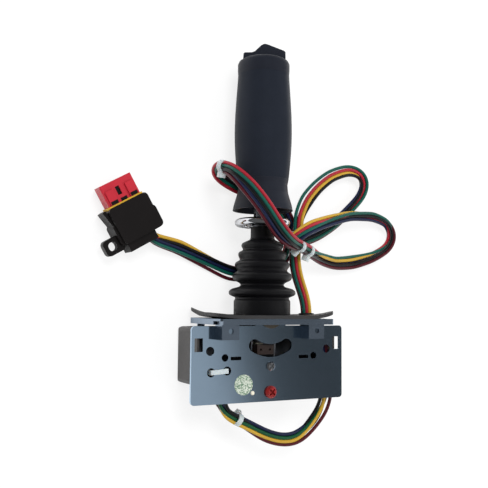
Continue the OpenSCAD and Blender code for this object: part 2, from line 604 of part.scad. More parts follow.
/* ---- Grip ---- */
grip_outline = [[18.6, 0], [19.1, 4.5], [19.7, 10.5], [20.4, 19.5], [20.8, 27.5], [20.9, 34], [20.85, 40], [20.6, 48],
    [20.1, 57], [19.5, 66], [19, 73], [18.8, 76.9]];
module grip_body() lay() color([0.1, 0.11, 0.13]) difference() {
    scale_r = grip_r / 20.9;
    rotate_extrude($fn = 72) polygon(concat([[0, grip_seat]],
        [for (p = grip_outline) [p[0] * scale_r, grip_seat + p[1] * (head_seat - grip_seat) / 76.9]], [[0, head_seat]]));
    translate([0, 0, grip_seat - 1]) cylinder(d = shaft_d, h = tube_top - grip_seat + 1);
    translate([0, 0, head_seat - 8]) cylinder(r = 13, h = 9);
}
module grip_head() lay() color([0.12, 0.12, 0.14]) difference() {
    rotate_extrude($fn = 72) polygon([[0, head_seat], [18.7, head_seat], [19, head_seat + 4],
        [19, head_seat + 8.4], [18.2, head_seat + 10.2], [17, head_seat + 11.2], [0, head_seat + 11.2]]);
    rotate(grip_turn) {
        translate([-rocker_w / 2 - 0.4, -rocker_d / 2 - 0.4, head_seat + 2]) cube([rocker_w + 0.8, rocker_d + 0.8, 20]);
        translate([0, 14.4, rocker_pin_z]) rotate([90, 0, 0]) cylinder(d = 3, h = 28.8);
        translate([-6.3, -5.3, head_seat - 1]) cube([12.6, 10.6, 4]);
    }
}
module rocker_switch() lay() color([0.2, 0.2, 0.22]) rotate(grip_turn) {
    translate([0, 0, head_seat - 7.9]) cylinder(d = 22, h = 7.8);
    difference() {
        translate([-6, -5, head_seat - 1]) cube([12, 10, 4.4]);
        translate([-3, -6, head_seat + 2.8]) cube([6, 12, 3]);
    }
}
module rocker_pin() lay() color("silver") rotate(grip_turn)
    translate([0, 14.4, rocker_pin_z]) rotate([90, 0, 0]) cylinder(d = 3, h = 28.8);
module thumb_rocker() lay() color([0.1, 0.1, 0.12]) rotate(grip_turn) difference() {
    w = rocker_w / 2;
    top = rocker_top - rocker_pin_z;
    translate([0, 0, rocker_pin_z]) panel(rocker_d / 2, rocker_d)
        polygon([[-w + 2, -3], [-w, 0], [-w + 0.3, top - 7.4], [-w + 1.2, top - 6.6], [-9, top - 6.4], [-7, top - 5.6],
            [-2.4, top - 1.1], [-0.6, top - 0.1], [1, top], [3, top - 0.6], [w - 1.2, top - 4.9],
            [w - 0.2, top - 5.8], [w, 0], [w - 2, -3], [7, -4.4], [-7, -4.4]]);
    translate([0, 20, rocker_pin_z]) rotate([90, 0, 0]) cylinder(d = 3 + 2 * fit, h = 40);
    translate([-30, -30, head_seat - 10]) cube([60, 60, 14.6]);
}
module grip_skirt() lay() color([0.17, 0.17, 0.19]) difference() {
    rotate_extrude($fn = 72) polygon([[skirt_r, grip_seat - 22.4], [skirt_r - 0.7, grip_seat - 18.8],
        [skirt_r - 2, grip_seat - 14.4], [skirt_r - 3.3, grip_seat - 10], [18, grip_seat - 6],
        [17.9, grip_seat - 3.4], [18.5, grip_seat - 0.6], [18.5, grip_seat], [0, grip_seat], [0, grip_seat - 3],
        [14.4, grip_seat - 4], [16, grip_seat - 10], [skirt_r - 3.9, grip_seat - 18], [skirt_r - 1.8, grip_seat - 22.4]]);
    translate([0, 0, grip_seat - 30]) cylinder(d = shaft_d, h = 40);
    rotate(grip_turn) translate([0, 0, 84.6]) rotate([90, 0, -166]) cylinder(d = 4, h = 30);
}
module skirt_screw() lay() color("silver") rotate(grip_turn) translate([0, 0, 84.6]) rotate([90, 0, -166])
    difference() {
        translate([0, 0, shaft_d / 2 + 0.1]) cylinder(d = 4, h = 12);
        translate([0, 0, shaft_d / 2 + 10]) cylinder(d = 2.2, h = 6, $fn = 6);
    }

/* ---- Harness ---- */
up = [0, 0, 1];
module under_loop() lay() color([0.1, 0.15, 0.3]) tube(under_route, bundle_r, [0.2, 0, -1], up);
module harness_stem() lay() color([0.1, 0.3, 0.25]) tube(stem_route, bundle_r, up, up);
module upper_loop() lay() color([0.1, 0.35, 0.3]) tube(upper_route, bundle_r, up, along(upper_route, side_route));
module side_loop() lay() color([0.3, 0.12, 0.15])
    tube(side_route, bundle_r, along(upper_route, side_route), along(side_route, front_route));
module wrap_front() lay() color([0.5, 0.15, 0.2])
    tube(front_route, bundle_r, along(side_route, front_route), along(front_route, back_route));
module wrap_back() lay() color([0.15, 0.15, 0.15])
    tube(back_route, flat_r, along(front_route, back_route), along(back_route, tail_route));
module harness_tail() lay() color([0.15, 0.3, 0.25])
    tube(tail_route, flat_r, along(back_route, tail_route), [-0.5, 0, 0.866]);
module tie_band(r) {
    difference() {
        cylinder(r = r + 1.1, h = 3.4, center = true);
        cylinder(r = r, h = 5, center = true);
    }
    translate([r + 2.6, 0, 0]) cube([4.4, 4.6, 3.8], center = true);
}
module under_loop_tie() lay() color([0.86, 0.9, 0.92]) on_route(under_route, 4, 130) tie_band(bundle_r + 0.1);
module bundle_ties() lay() color([0.86, 0.9, 0.92]) {
    on_route(front_route, 9, 0) tie_band(bundle_r + 0.1);
    on_route(front_route, 0, -20) tie_band(bundle_r + 0.1);
    on_route(front_route, 1, -45) tie_band(bundle_r + 0.1);
    on_route(upper_route, 2, 90) tie_band(bundle_r + 0.1);
}

/* ---- Connector ---- */
module plugged() {
    translate([connector_x, pan_back - shell_h / 2, connector_z]) rotate([0, -connector_turn, 0]) children();
}
module connector_shell() lay() plugged() color([0.1, 0.1, 0.1]) difference() {
    union() {
        translate([0, shell_h / 2, -shell_l / 2]) rotate([90, 0, 0]) linear_extrude(shell_h) rounded(shell_w - 4, shell_l, 3);
        translate([0, shell_h / 2 - 2, -shell_l / 2 - 5]) rotate([90, 0, 0]) linear_extrude(shell_h - 4) rounded(shell_w, shell_l - 10, 3);
        translate([-2, 0, -shell_l - 2]) cube([22, shell_h - 5, 8], center = true);
        translate([-shell_w / 2 - 4, shell_h / 2 - 8, -shell_l + 3]) rotate([90, 0, 0]) difference() {
            linear_extrude(6) rounded(14, 11, 3);
            translate([-1, 0, -1]) linear_extrude(8) rounded(6, 6, 2.5);
        }
        translate([-shell_w / 2 + 1.2, 0, -7]) rotate([0, -12, 0]) cube([2.4, 12, 14], center = true);
    }
    translate([0, 0, -6]) linear_extrude(20) rounded(insert_w + 3.2, shell_h - 4, 3);
    translate([6, 0, -shell_l - 8]) cylinder(r = bundle_r + 0.2, h = 12);
}
module connector_insert() lay() plugged() color([0.8, 0.2, 0.26]) difference() {
    union() {
        translate([0, 0, -5.9]) linear_extrude(22) rounded(insert_w, 12, 1.2);
        for (x = [-1, 1]) translate([x * 7.6, -6.6, 6.2]) cube([6, 1.6, 9.9], center = true);
    }
    for (k = [0:6], s = [-1, 1]) translate([-insert_w / 2 + 3 + 3.1 * k, s * 3.1, 12]) cube([2, 2.4, 10], center = true);
    translate([-1, -6.2, 8.6]) cube([3, 3, 6], center = true);
}
module connector_seal() lay() plugged() color([0.85, 0.66, 0.2]) difference() {
    translate([0, 0, -1.6]) linear_extrude(2.6) rounded(insert_w + 3, shell_h - 4.2, 2.8);
    translate([0, 0, -3]) linear_extrude(6) rounded(insert_w, 12, 1.2);
}

mounting_pan();
front_plate();
rear_plate();
rear_cover();
cover_screws();
spacer_posts();
pan_screws();
pivot_bushings();
lock_gate();
anchor_post();
anchor_screw();
stop_nut();
stop_screw();
case_rivet();
strap_tie();
inspection_sticker();
potentiometer();
sensor_nut();
circuit_board();
board_header();
boot();
boot_flange();
harness_grommet();
harness_stem();
under_loop();
under_loop_tie();
lever_hub();
sensor_sector();
follower_block();
centring_spring();
lever_tube();
grip_body();
grip_head();
grip_skirt();
skirt_screw();
rocker_switch();
rocker_pin();
upper_loop();
side_loop();
wrap_front();
wrap_back();
harness_tail();
bundle_ties();
connector_shell();
connector_insert();
connector_seal();
lock_ring();
lock_rod();
lock_pin();
lock_spring();
thumb_rocker();
sensor_gear();
sensor_shaft();
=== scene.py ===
import math

import bmesh
import bpy
import numpy as np
from mathutils import Matrix


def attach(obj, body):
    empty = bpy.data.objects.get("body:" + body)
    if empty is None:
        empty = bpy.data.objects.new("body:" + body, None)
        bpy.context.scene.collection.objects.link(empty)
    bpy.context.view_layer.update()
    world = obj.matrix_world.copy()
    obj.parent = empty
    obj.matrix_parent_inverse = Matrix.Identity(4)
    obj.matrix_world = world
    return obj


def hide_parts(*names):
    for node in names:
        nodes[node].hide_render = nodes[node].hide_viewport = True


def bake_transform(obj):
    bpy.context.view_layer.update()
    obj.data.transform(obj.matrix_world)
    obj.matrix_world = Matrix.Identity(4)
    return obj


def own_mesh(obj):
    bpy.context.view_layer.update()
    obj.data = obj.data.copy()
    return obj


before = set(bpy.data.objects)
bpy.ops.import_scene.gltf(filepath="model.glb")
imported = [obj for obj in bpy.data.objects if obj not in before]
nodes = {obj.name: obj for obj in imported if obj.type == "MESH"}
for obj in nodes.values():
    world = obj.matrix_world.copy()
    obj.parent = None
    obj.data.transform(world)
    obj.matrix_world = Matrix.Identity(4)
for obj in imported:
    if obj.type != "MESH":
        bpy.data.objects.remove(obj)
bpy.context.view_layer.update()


# Shapes. Module millimetres (across, back, up) become row metres (across, up, minus back)
def toRow(points):
    p = np.array(points, float)
    return np.stack([p[..., 0], p[..., 2], -p[..., 1]], -1) * 0.001


# Each vector divided by its own length
def unit(v):
    return v / np.maximum(np.linalg.norm(v, axis=-1, keepdims=True), 1e-12)


# Running total of the distances between neighbouring points
def arcLength(p):
    return np.concatenate([[0], np.cumsum(np.linalg.norm(np.diff(p, axis=0), axis=1))])


# Bell-weighted mean along the line, with both ends mirrored through the end points so that they stay put
def smooth(p, step, sigma):
    half = min(int(3 * sigma / step) + 1, len(p) - 1)
    kernel = np.exp(-0.5 * (np.arange(-half, half + 1) * step / sigma) ** 2)
    kernel /= kernel.sum()
    padded = np.concatenate([2 * p[0] - p[half:0:-1], p, 2 * p[-1] - p[-2:-half - 2:-1]])
    return np.stack([np.convolve(padded[:, k], kernel, "valid") for k in range(p.shape[1])], 1)


# Points at equal steps of length along the line
def resample(p, step):
    s = arcLength(p)
    t = np.linspace(0, s[-1], max(int(round(s[-1] / step)), 2) + 1)
    return np.stack([np.interp(t, s, p[:, k]) for k in range(p.shape[1])], 1)


# Squares between neighbours of a grid that joins up across, and also end to end where it is closed
def gridFaces(rows, cols, closed=False):
    i, j = np.meshgrid(np.arange(rows if closed else rows - 1), np.arange(cols), indexing="ij")
    nextRow, nextCol = (i + 1) % rows, (j + 1) % cols
    square = [i * cols + j, i * cols + nextCol, nextRow * cols + nextCol, nextRow * cols + j]
    return np.stack(square, -1).reshape(-1, 4)


# A mesh from points and faces, turned to face outwards, with edges sharper than flatAngle left hard
def makePiece(name, points, quads, triangles=None, flatAngle=None):
    faces = quads.tolist() + ([] if triangles is None else triangles.tolist())
    mesh = bpy.data.meshes.new(name)
    mesh.from_pydata(points.tolist(), [], faces)
    shape = bmesh.new()
    shape.from_mesh(mesh)
    bmesh.ops.recalc_face_normals(shape, faces=shape.faces)
    shape.to_mesh(mesh)
    shape.free()
    mesh.polygons.foreach_set("use_smooth", np.ones(len(mesh.polygons), bool))
    if flatAngle is not None:
        mesh.set_sharp_from_angle(angle=math.radians(flatAngle))
    piece = bpy.data.objects.new(name, mesh)
    bpy.context.scene.collection.objects.link(piece)
    return piece


# A circle carried along the path: centre plus radius times (side by cosine plus other by sine),
# with one point at each end to close it
def makeTube(name, path, radius, sides=12):
    tangent = unit(np.gradient(path, axis=0))
    side = unit(np.cross(tangent, away))
    other = np.cross(side, tangent)
    angle = np.linspace(0, 2 * np.pi, sides, endpoint=False)
    ring = side[:, None] * np.cos(angle)[None, :, None] + other[:, None] * np.sin(angle)[None, :, None]
    points = (path[:, None] + radius * ring).reshape(-1, 3)
    last = len(points)
    points = np.concatenate([points, path[:1], path[-1:]])
    k = np.arange(sides)
    first = np.stack([np.full(sides, last), (k + 1) % sides, k], -1)
    end = np.stack([np.full(sides, last + 1), last - sides + k, last - sides + (k + 1) % sides], -1)
    return makePiece(name, points, gridFaces(len(path), sides), np.concatenate([first, end]))


# A closed profile of (radius, height) turned about the lever: radius by cosine, radius by sine, height
def makeRevolve(name, profile, around):
    angle = np.linspace(0, 2 * np.pi, around, endpoint=False)
    r, z = profile[:, 0][:, None], profile[:, 1][:, None]
    height = np.broadcast_to(z, (len(profile), around))
    points = np.stack([r * np.cos(angle), r * np.sin(angle), height], -1)
    return makePiece(name, toRow(points.reshape(-1, 3)), gridFaces(len(profile), around, closed=True))


# Materials. Screen colour to linear light: a straight part for the darkest values, a power of 2.4 above
def linear(rgb):
    c = np.array(rgb, float) / 255
    return (*np.where(c <= 0.04045, c / 12.92, ((c + 0.055) / 1.055) ** 2.4), 1.0)


# Two colours mixed by wide noise. Noise twenty times finer sets the relief, and the roughness within spread
def makeMaterial(name, colour, other, scale=300, rough=0.5, spread=0.08, bump=0.1, depth=0.0002, **sockets):
    material = bpy.data.materials.new(name)
    material.use_nodes = True
    tree = material.node_tree
    shader = tree.nodes["Principled BSDF"]
    place = tree.nodes.new("ShaderNodeTexCoord").outputs["Object"]
    wide = addNode(tree, "ShaderNodeTexNoise", Vector=place, Scale=scale * 0.2, Detail=3.0)
    fine = addNode(tree, "ShaderNodeTexNoise", Vector=place, Scale=scale * 4, Detail=4.0)
    tint = addNode(tree, "ShaderNodeMix", "RGBA", Factor=wide.outputs["Fac"])
    tint.inputs["A"].default_value = linear(colour)
    tint.inputs["B"].default_value = linear(other)
    tree.links.new(tint.outputs["Result"], shader.inputs["Base Color"])
    gloss = addNode(tree, "ShaderNodeMapRange", Value=fine.outputs["Fac"])
    gloss.inputs["To Min"].default_value = rough - spread
    gloss.inputs["To Max"].default_value = rough + spread
    tree.links.new(gloss.outputs["Result"], shader.inputs["Roughness"])
    relief = addNode(tree, "ShaderNodeBump", Height=fine.outputs["Fac"], Strength=bump, Distance=depth)
    tree.links.new(relief.outputs["Normal"], shader.inputs["Normal"])
    for socket, value in sockets.items():
        shader.inputs[socket.replace("_", " ")].default_value = value
    return material


# A node whose inputs are set by name: a socket is linked, a value is typed in
def addNode(tree, kind, dataType=None, **inputs):
    made = tree.nodes.new(kind)
    if dataType:
        made.data_type = dataType
    for socket, value in inputs.items():
        if isinstance(value, bpy.types.NodeSocket):
            tree.links.new(value, made.inputs[socket])
        else:
            made.inputs[socket].default_value = value
    return made


# Puts the material on CAD nodes and new pieces alike
def paint(material, *names):
    for name in names:
        mesh = nodes[name].data if name in nodes else bpy.data.objects[name].data
        mesh.materials.clear()
        mesh.materials.append(material)


# Camera
camera = {"place": (-0.2504, 0.0101, 0.4523), "right": (0.8866, 0.0097, 0.4624),
          "up": (-0.0470, 0.9965, 0.0691), "lens": 53.02, "sensor": 36}
right = unit(np.array(camera["right"]))
up = unit(np.array(camera["up"]) - right * np.dot(camera["up"], right))
away = -np.cross(right, up)
lensData = bpy.data.cameras.new("camera")
lensData.lens = camera["lens"]
lensData.sensor_width = camera["sensor"]
cameraObject = bpy.data.objects.new("camera", lensData)
bpy.context.scene.collection.objects.link(cameraObject)
pose = np.eye(4)
pose[:3, :3] = np.stack([right, up, -away], 1)
pose[:3, 3] = camera["place"]
cameraObject.matrix_world = Matrix(pose.tolist())
bpy.context.scene.camera = cameraObject
print("camera done")

# Harness: six wires through the stem, both loops, once round the grip and on to the plug.
# The middle of the bundle, in module millimetres; the bottom loop has its own
route = np.array([
    [37.5, 0, -2.6], [37.5, 0, 9], [36.5, 2, 17], [34.5, 5, 26], [33, 7.5, 35], [32, 8, 45],
    [32.5, 8, 52.5], [34, 8.5, 59.5], [35, 9, 65.5], [38, 11, 77.5], [47, 14, 90.5],
    [57.5, 16, 101.5], [71.5, 17.5, 112], [89, 18.5, 118.5], [101, 18.5, 116.5],
    [105.5, 18.5, 108], [100.5, 18.5, 97.5], [88.5, 18.5, 86], [74, 18, 73.5], [58.5, 17, 64],
    [44.5, 16.5, 58.5], [32.5, 16, 55], [25, 9.5, 54.5], [26.5, 2.5, 57], [34.5, 0.4, 63.5],
    [45, 2, 68.5], [62, 5, 74.5], [84, 9, 80.5], [109.5, 14, 82], [128, 17.5, 78],
    [134.5, 19.5, 68.5], [129, 19.5, 58], [112.5, 19.5, 49.5], [93.5, 19.5, 44], [75, 17, 42.5],
    [59, 11, 45], [45.5, 3, 48.5], [32.5, -5, 51.5], [21, -12, 53], [10.5, -18, 56],
    [1, -22.5, 62], [-7.5, -25.5, 70.5], [-15, -26.5, 79], [-23.5, -24, 89.5], [-29.5, -18.5, 98],
    [-33.5, -9, 105], [-36, 0, 107], [-35, 7, 105], [-28, 14, 101.5], [-19, 18.5, 99],
    [-9.5, 21.2, 96.5], [4, 21.2, 93.5], [18, 21.2, 90], [29.5, 21.3, 81.5], [37, 21.5, 69],
    [37, 22.3, 56], [33, 22.8, 45], [25, 23, 39.5], [13, 23.1, 36], [0, 23.1, 33], [-14, 22.6, 33],
    [-29, 22, 39], [-43.5, 21, 44.5], [-57.5, 19, 49.5], [-71, 16.5, 52.5], [-79.2, 16, 54.8],
    [-82.3, 16, 60]])
underRoute = np.array([
    [-39, -6.5, -30], [-37, -6.3, -42], [-34.5, -3, -55], [-29.5, 0, -64], [-21.5, 0, -68.5],
    [-15, 0, -72], [4, 0, -82.5], [16.5, 0, -86.5], [29, 0, -86.5], [40, 0, -79], [50, 0, -69],
    [53, -3, -58.5], [51, -5, -45], [48, -5.5, -28], [46.3, -5.5, -15], [42.2, -5, -8],
    [38.4, -1, -5.4], [37.5, 0, -2.6]])

# Points of the route at which each wire's place is given: how far left of the middle, and how far behind it
stations = [0, 5, 8, 10, 13, 15, 17.5, 20, 22.5, 25, 28, 30.5, 33, 35, 36.5, 37.5, 39.5, 43, 45.5,
            48, 53, 56, 60, 63, 66]
harness = {
    "red": [(-0.5, -0.9), (-0.6, -1), (-0.6, -1), (1.3, -1.4), (1.2, -1.2), (0.9, 0.4), (0.9, 1.3),
        (0.6, 1), (1.8, -0.6), (1.9, -1), (-1, 0.2), (-1.6, 1), (-2, 1.2), (-1.8, 0.6), (-3, -1),
        (-3, -1), (-4.4, 0.1), (-4.7, 0.3), (-3, -1), (-3, 0), (-4.6, 0.4), (-2.6, 1), (-3.4, 1),
        (-1, 1.4), (-2, -0.8)],
    "teal": [(1.6, -0.8), (1.8, -1), (1.8, -1), (5, -0.4), (4, -0.4), (3.4, -0.6), (2.8, -0.9),
        (1.8, -1), (0, -1), (-0.6, -1.3), (2.6, -1.6), (1, 0.8), (-4.5, -0.6), (-3.4, -1), (-0.6, -1),
        (-0.6, -1), (-2, -0.9), (-2.3, -0.8), (-0.6, -1), (-0.8, 0.2), (-2.2, 0.2), (0.6, -1),
        (1.6, -1.1), (2.6, -0.9), (1.8, -0.8)],
    "yellow": [(-2.6, -0.8), (-3, -1), (-3, -1), (-1.2, -1.4), (-1.3, -0.8), (-1.6, 0.6), (-1.5, 1.3),
        (-1.8, 1), (3, 0.6), (4.4, -0.6), (1.6, 1.2), (-1, 2.4), (-2, -1.2), (-1.8, -1.6), (-1.8, 1),
        (-1.8, 1), (-0.2, 1.5), (0, 1.5), (-1.8, 1), (-1.4, 1.6), (-1.4, 1.8), (-2.2, 1), (-1.8, 1.2),
        (-4.6, -0.4), (-1.6, 1)],
    "black": [(-1.6, 1), (-1.8, 1), (-1.8, 1), (-3.7, -0.6), (-3.2, -1.4), (-1.2, -1.8), (0.3, -1.2),
        (-0.6, -1), (-2, 0.6), (-1.8, 1.2), (0, -1.4), (0.8, -1.8), (1.8, -1.1), (1.4, -1), (1.8, -1),
        (1.8, -1), (0.4, -1.1), (0.1, -1.1), (1.8, -1), (1.6, 0), (0.2, 0.2), (-2.4, -1), (-3.2, -0.8),
        (-2.2, -0.8), (0.4, 1)],
    "navy": [(0.6, 1), (0.6, 1), (0.6, 1), (0.2, 1.3), (0, 1.4), (-2, -1), (-2.2, -0.9), (-3, -1),
        (-3, -0.8), (-3, -0.8), (-3, -0.8), (-1.4, 2.4), (0.4, 1.3), (0.6, 1), (0.6, 1), (0.6, 1),
        (2.6, -0.8), (2.5, -0.8), (0.6, 1), (0.6, 1.6), (2.6, 0.2), (0, 1), (-0.8, -1), (0.2, -0.9),
        (0, -0.8)],
    "maroon": [(2.6, 0.9), (3, 1), (3, 1), (-2.3, 1.2), (-2, 1.4), (3, 1.4), (3.4, 1.1), (3, 1),
        (1, 1.2), (0.9, 1.4), (1, 1.4), (3.4, -1.4), (4.4, -0.6), (3.8, -0.8), (3, 1), (3, 1),
        (4.8, 0.1), (4.8, 0.2), (3, 1), (3.6, 1), (4.8, 0.8), (3, 0.6), (5.6, 0.4), (3.6, 1), (2.2, 1)]}
underStations = [0, 2, 3.5, 4.5, 6, 8, 9.5, 12, 14, 17]
under = {
    "navy": [(1.2, -0.8), (1.2, -1), (1.8, 1), (1.8, 1), (3.4, -0.4), (3.6, -0.4), (1.4, 0.8),
        (-1.2, -0.9), (-1.2, -0.9), (-1, 1)],
    "green": [(-1.2, -0.8), (-1.2, -1), (-0.6, -1), (-0.6, -1), (0.9, -1.1), (1, -1.1), (1, -1),
        (0, 1.2), (0, 1.2), (1, 1)],
    "yellow": [(0, 1.2), (0, 1.2), (-3, -1), (-3, -1), (-1.6, -1), (-1.6, -1.1), (0, -1.4),
        (1.2, -0.9), (1.2, -0.9), (1, -1)],
    "maroon": [(-2.4, 1.2), (-2.4, 1.2), (-1.8, 1), (-1.8, 1), (-4, -0.3), (-4.2, -0.3), (-3.8, -0.6),
        (-3.6, -0.6), (-3.4, -0.6), (-1, -1)],
    "black": [(3.4, -0.4), (3.4, -0.4), (1.8, -1), (1.8, -1), (1.4, 1.3), (1.2, 1.3), (3.4, -0.6),
        (3.6, -0.6), (3.4, -0.6), (2.4, 0)],
    "brown": [(-3.4, -0.4), (-3.6, -0.4), (0.6, 1), (0.6, 1), (-1.2, 1.3), (-1.3, 1.3), (-1.6, 1.3),
        (2.4, 1.2), (2.4, 1.2), (-2.4, 0)]}
# Diameter, point spacing and lowest middle in metres; step and both blurs of the route in millimetres
wire = {"diameter": 0.0026, "spacing": 0.0022, "lowest": -0.0242, "step": 0.5, "routeBlur": 3.6,
        "wireBlur": 3.2, "bendStart": (0, 0.008, 0), "bendEnd": (0, 0.032, 0)}


# The blurred route plus left and behind times the wire's offsets between its stations, blurred again,
# spaced evenly and kept off the table
def layWire(points, marks, offsets):
    s = arcLength(points)
    t = np.linspace(0, s[-1], int(s[-1] / wire["step"]) + 1)
    place = np.interp(t, s, np.arange(len(points)))
    dense = np.stack([np.interp(t, s, points[:, k]) for k in range(3)], 1)
    dense = toRow(smooth(dense, wire["step"], wire["routeBlur"]))
    tangent = unit(np.gradient(dense, axis=0))
    left = unit(np.cross(tangent, away))
    behind = np.cross(left, tangent)
    shift = np.array(offsets, float) * 0.001
    toLeft = np.interp(place, marks, shift[:, 0])[:, None]
    toBack = np.interp(place, marks, shift[:, 1])[:, None]
    moved = dense + left * toLeft + behind * toBack
    path = resample(smooth(moved, wire["step"], wire["wireBlur"]), wire["spacing"])
    path[:, 2] = np.maximum(path[:, 2], wire["lowest"])
    return path


wireColours = {
    "red": ((168, 32, 48), (140, 22, 38)), "teal": ((10, 88, 74), (6, 68, 60)),
    "yellow": ((196, 160, 50), (168, 128, 36)), "black": ((12, 13, 15), (8, 8, 10)),
    "navy": ((20, 30, 64), (14, 20, 46)), "maroon": ((84, 18, 30), (62, 12, 22)),
    "green": ((16, 82, 48), (10, 62, 38)), "brown": ((66, 38, 28), (48, 26, 20))}
insulation = {
    name: makeMaterial("wire_" + name, a, b, scale=120, rough=0.3, spread=0.06, bump=0.05, depth=0.0001,
                       Specular_IOR_Level=0.55)
    for name, (a, b) in wireColours.items()}
harnessNodes = ["harness_stem", "upper_loop", "side_loop", "wrap_front", "wrap_back", "harness_tail"]
for name, offsets in harness.items():
    path = layWire(route, stations, offsets)
    piece = makeTube("wire_" + name, path, wire["diameter"] / 2)
    piece.data.materials.append(insulation[name])
    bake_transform(piece)
    if name == "red":
        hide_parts(*harnessNodes)
for name, offsets in under.items():
    path = layWire(underRoute, underStations, offsets)
    piece = makeTube("under_" + name, path, wire["diameter"] / 2)
    piece.data.materials.append(insulation[name])
    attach(piece, "chassis")
    if name == "navy":
        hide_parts("under_loop")
print("harness done")

# Boot: bellows between the chassis and the lever, from the (radius, height) of their outer face
boot = {"wall": 1.5, "shaft": 6.65, "around": 128, "step": 0.35, "blur": 0.45, "hardAngle": 60,
        "bendStart": (0, 0.012, 0), "bendEnd": (0, 0.056, 0), "outer": [
    [20.3, 2.6], [20.3, 12.4], [19.3, 13.6], [19.3, 14.8], [21.6, 15.6], [23.6, 16.6],
    [24.1, 18.1], [23.6, 19.6], [21.8, 20.9], [16.4, 22.4], [15.3, 23.7], [16.4, 25.1],
    [20.2, 26.9], [21.3, 28.4], [21.6, 30.2], [20.9, 31.6], [18.6, 33], [17.8, 34], [18.4, 35.4],
    [19.5, 36.6], [19.9, 38.2], [19.2, 39.8], [17, 41], [16.1, 41.9], [16.7, 43.2], [17.3, 44.4],
    [17.5, 45.8], [16.8, 47.3], [14.6, 48.3], [13.8, 49.2], [14.7, 50.4], [15.3, 51.9],
    [14.6, 53.6], [11.4, 55.2], [9.2, 56.2], [8.6, 57.6], [8.5, 65.3]]}
outer = smooth(resample(np.array(boot["outer"], float), boot["step"]), boot["step"], boot["blur"])
inner = outer[::-1].copy()
inner[:, 0] = np.maximum(inner[:, 0] - boot["wall"], boot["shaft"])
bootPiece = makeRevolve("bellows_boot", np.concatenate([outer, inner]), boot["around"])
bootPiece.data.set_sharp_from_angle(angle=math.radians(boot["hardAngle"]))
bootRubber = makeMaterial("boot_rubber_look", (9, 9, 11), (16, 16, 19), scale=160, rough=0.44, spread=0.12,
                          bump=0.25, depth=0.0003, Specular_IOR_Level=0.32)
bootPiece.data.materials.append(bootRubber)
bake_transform(bootPiece)
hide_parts("boot")

# Flange: a rubber sheet whose corners curl off the pan. Its edge is a rounded oblong: the distance at which
# the sides' shares, each raised to a high power, add up to one
flange = {"width": 94, "depth": 52, "thick": 2.4, "hole": 18.6, "offset": -0.6, "rings": 40, "around": 288,
          "corner": 9, "crowding": 0.9, "hardAngle": 50, "lowest": 0.05, "rimSwell": [1.004, 1.006, 1]}
# How far the ends curl up in millimetres: each end as a whole, one corner of each more, and a slight ripple
curl = {"flatHalf": 24, "run": 23, "left": 1.6, "right": 0.5, "leftBack": 5.2, "backFrom": 4, "backRun": 22,
        "rightFront": 3.4, "frontFrom": 2, "frontRun": 24, "ripple": 0.25, "acrossRate": 0.21,
        "depthRate": 0.13}
angle = np.linspace(0, 2 * np.pi, flange["around"], endpoint=False)
share = np.linspace(0, 1, flange["rings"])[:, None] ** flange["crowding"]
cosine, sine = np.cos(angle), np.sin(angle)
power = flange["corner"]
acrossShare = np.abs(cosine / (flange["width"] / 2)) ** power
depthShare = np.abs(sine / (flange["depth"] / 2)) ** power
reach = (acrossShare + depthShare) ** (-1 / power)
radius = flange["hole"] + (reach - flange["hole"]) * share
x, y = radius * cosine, radius * sine + flange["offset"]
edge = np.clip((np.abs(x) - curl["flatHalf"]) / curl["run"], 0, 1) ** 2
backCurl = curl["leftBack"] * np.clip((y - curl["backFrom"]) / curl["backRun"], 0, 1) * (x < 0)
frontCurl = curl["rightFront"] * np.clip((-y - curl["frontFrom"]) / curl["frontRun"], 0, 1) * (x > 0)
lift = edge * (backCurl + frontCurl + curl["left"] * (x < 0) + curl["right"] * (x > 0))
lift = lift + curl["ripple"] * np.sin(x * curl["acrossRate"] + y * curl["depthRate"]) * edge
top = np.stack([x, y, flange["thick"] + lift], -1)
low = np.stack([x, y, np.maximum(lift, flange["lowest"])], -1)[::-1]
rim = top[-1:] * np.array(flange["rimSwell"]) - np.array([0, 0, flange["thick"] / 2])
sheet = np.concatenate([top, rim, low])
flangeFaces = gridFaces(len(sheet), flange["around"], closed=True)
flangePoints = toRow(sheet.reshape(-1, 3))
flangePiece = makePiece("boot_flange_sheet", flangePoints, flangeFaces, flatAngle=flange["hardAngle"])
# The flange's rubber is painted several times lighter than the boot's rubber it is moulded with: painted
# sheen of the light its upturned face catches
flangeSheenRubber = makeMaterial("flange_rubber_painted_sheen", (36, 36, 38), (58, 57, 57), scale=130, rough=0.55,
                            spread=0.12, bump=0.35, depth=0.0003, Specular_IOR_Level=0.4)
flangePiece.data.materials.append(flangeSheenRubber)
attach(flangePiece, "chassis")
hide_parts("boot_flange")

# Lock spring: a helix that rises one pitch a turn.
spring = {"wire": 0.9, "radius": 2.4, "foot": 74.95, "pitch": 3, "turns": 7, "seat": 0.0966, "kept": 0.77,
          "steps": 28, "sides": 10}
winding = np.linspace(0, 2 * np.pi * spring["turns"], spring["turns"] * spring["steps"] + 1)
rise = spring["foot"] + spring["pitch"] * winding / (2 * np.pi)
coil = np.stack([spring["radius"] * np.cos(winding), spring["radius"] * np.sin(winding), rise], -1)
springPiece = makeTube("lock_spring_coil", toRow(coil), spring["wire"] * 0.0005, spring["sides"])
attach(springPiece, "lever")
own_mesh(springPiece)
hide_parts("lock_spring")

